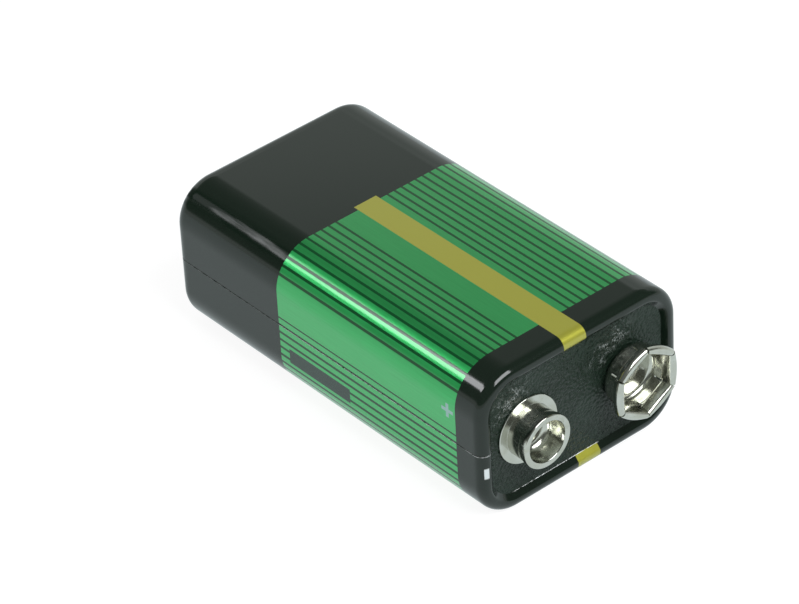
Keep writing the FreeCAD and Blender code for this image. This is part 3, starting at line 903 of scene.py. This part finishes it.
socket_sizes = {
    "Height": SOCKET_HEIGHT,
    "Sheet": SOCKET_SHEET,
    "Cup Radius": CUP_RADIUS,
    "Cup Round": CUP_ROUND,
    "Cup Height": CUP_HEIGHT,
    "Waist Height": WAIST_HEIGHT,
    "Waist Apothem": WAIST_APOTHEM,
    "Roll Radius": ROLL_RADIUS,
    "Roll Apothem": ROLL_APOTHEM,
    "Roll Corner": ROLL_CORNER,
    "Hem Length": HEM_LENGTH,
    "Slit": PETAL_SLIT,
    "Slit Foot": SLIT_FOOT,
    "Shank Radius": SHANK_RADIUS,
    "Petal Count": PETALS,
    "Width Count": 13,
    "Bend Count": 8,
}
rivet_sizes = {
    "Head Radius": RIVET_HEAD_RADIUS,
    "Head Height": RIVET_HEAD_HEIGHT,
    "Bore Radius": RIVET_BORE_RADIUS,
    "Bore Depth": RIVET_BORE_DEPTH,
    "Shank Radius": SHANK_RADIUS,
    "Length": RIVET_LENGTH,
    "Turn Count": 48,
    "Bend Count": 5,
}
stud_place = (BOARD_X, -CONTACT_Y, AXIS_Z)
socket_place = (BOARD_X, CONTACT_Y, AXIS_Z)
rivets = {"stud_rivet": (STUD_FLOOR, stud_place), "socket_rivet": (SOCKET_SHEET, socket_place)}
rivet_tree = tubular_rivet()

jacket = grow("printed_jacket", rolled_sheet(), jacket_sizes, lacquer, (BASE_X, 0, AXIS_Z))
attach(jacket, "root")
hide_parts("jacket")

stud = grow("snap_stud", turned_stud(), stud_sizes, nickel, stud_place)
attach(stud, "root")
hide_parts("stud_contact")

socket = grow("snap_socket", petal_socket(), socket_sizes, nickel, socket_place, wall=SOCKET_SHEET)
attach(socket, "root")
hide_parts("socket_contact")

for name, (floor, place) in rivets.items():
    rivet = grow(f"{name}_head", rivet_tree, {**rivet_sizes, "Floor": floor}, rivet_metal, place)
    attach(rivet, "root")
    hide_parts(name)


def stand_camera():
    """The camera, where the reference picture was taken from."""
    azimuth, elevation, roll = (math.radians(angle) for angle in CAMERA_ANGLES)
    back = Vector((math.sin(azimuth), -math.cos(azimuth), math.tan(elevation))).normalized()
    right = Vector((0, 0, 1)).cross(back).normalized()
    up = back.cross(right)
    tilted = right * math.cos(roll) + up * math.sin(roll)
    up = up * math.cos(roll) - right * math.sin(roll)
    camera = bpy.data.objects.new("camera", bpy.data.cameras.new("camera"))
    bpy.context.collection.objects.link(camera)
    turn = Matrix((tilted, up, back)).transposed().to_4x4()
    place = Vector(CAMERA_TARGET) + back * CAMERA_DISTANCE
    camera.matrix_world = Matrix.Translation(place * MM) @ turn
    camera.data.lens = CAMERA_LENS
    camera.data.sensor_width = 36
    camera.data.clip_start = 0.01
    bpy.context.scene.camera = camera


def softbox(name, direction, width, height, power, colour):
    """A rectangular soft lamp that looks at the object."""
    lamp = bpy.data.lights.new(name, "AREA")
    lamp.shape = "RECTANGLE"
    lamp.size = width
    lamp.size_y = height
    lamp.energy = power
    lamp.color = colour
    direction = Vector(direction).normalized()
    box = bpy.data.objects.new(name, lamp)
    bpy.context.collection.objects.link(box)
    box.location = direction * LAMP_DISTANCE
    box.rotation_euler = direction.to_track_quat("Z", "Y").to_euler()
    box.visible_glossy = name != UNMIRRORED_LAMP


def room():
    """Soft even light, with a white backdrop and a dark room above it in the object's gloss."""
    world = bpy.data.worlds.new("room")
    world.use_nodes = True
    bpy.context.scene.world = world
    tree = world.node_tree
    tree.nodes.clear()
    path = add(tree, "ShaderNodeLightPath")
    direction = add(tree, "ShaderNodeTexCoord").outputs["Generated"]
    x, y, height = parts(tree, direction)
    behind = above(x * BACKDROP_WAY[0] + y * BACKDROP_WAY[1], *BACKDROP_SIDE)
    backdrop = either(behind * below(height, *BACKDROP_TOP), below(height, *WALL_TOP))
    shine = over(tree, behind * below(height, *HAZE_TOP), DARK_ROOM, HAZE_GLOW)
    white = over(tree, above(height, *BACKDROP_FOLD), LOW_GLOW, BACKDROP_GLOW)
    shine = over(tree, backdrop, shine, white)
    colour = over(tree, path.outputs["Is Glossy Ray"], EVEN_LIGHT, shine)
    colour = over(tree, path.outputs["Is Camera Ray"], colour, (1, 1, 1, 1))
    background = add(tree, "ShaderNodeBackground", {"Color": colour, "Strength": 1.0})
    feed(tree, add(tree, "ShaderNodeOutputWorld").inputs[0], background.outputs[0])


def table():
    """A white table that keeps the object's soft shadow."""
    mesh = bpy.data.meshes.new("table")
    reach = TABLE_REACH
    corners = [(-reach, -reach, 0), (reach, -reach, 0), (reach, reach, 0), (-reach, reach, 0)]
    mesh.from_pydata(corners, [], [(0, 1, 2, 3)])
    top = bpy.data.objects.new("table", mesh)
    bpy.context.collection.objects.link(top)
    material, tree, shader = surface("white table")
    shader.inputs["Roughness"].default_value = 0.9
    path = add(tree, "ShaderNodeLightPath")
    from_camera, from_gloss = path.outputs["Is Camera Ray"], path.outputs["Is Glossy Ray"]
    seen = Field(tree, from_camera).math("MAXIMUM", from_gloss)
    glow = over(tree, from_gloss, (0, 0, 0, 1), TABLE_IN_GLOSS)
    feed(tree, shader.inputs["Emission Color"], over(tree, from_camera, glow, TABLE_GLOW))
    feed(tree, shader.inputs["Base Color"], over(tree, seen, TABLE_WHITE, TABLE_SHADE))
    shader.inputs["Emission Strength"].default_value = 1.0
    mesh.materials.append(material)


stand_camera()
room()
table()
for name, lamp in LAMPS.items():
    softbox(name, *lamp)
bpy.context.scene.view_settings.view_transform = "Standard"
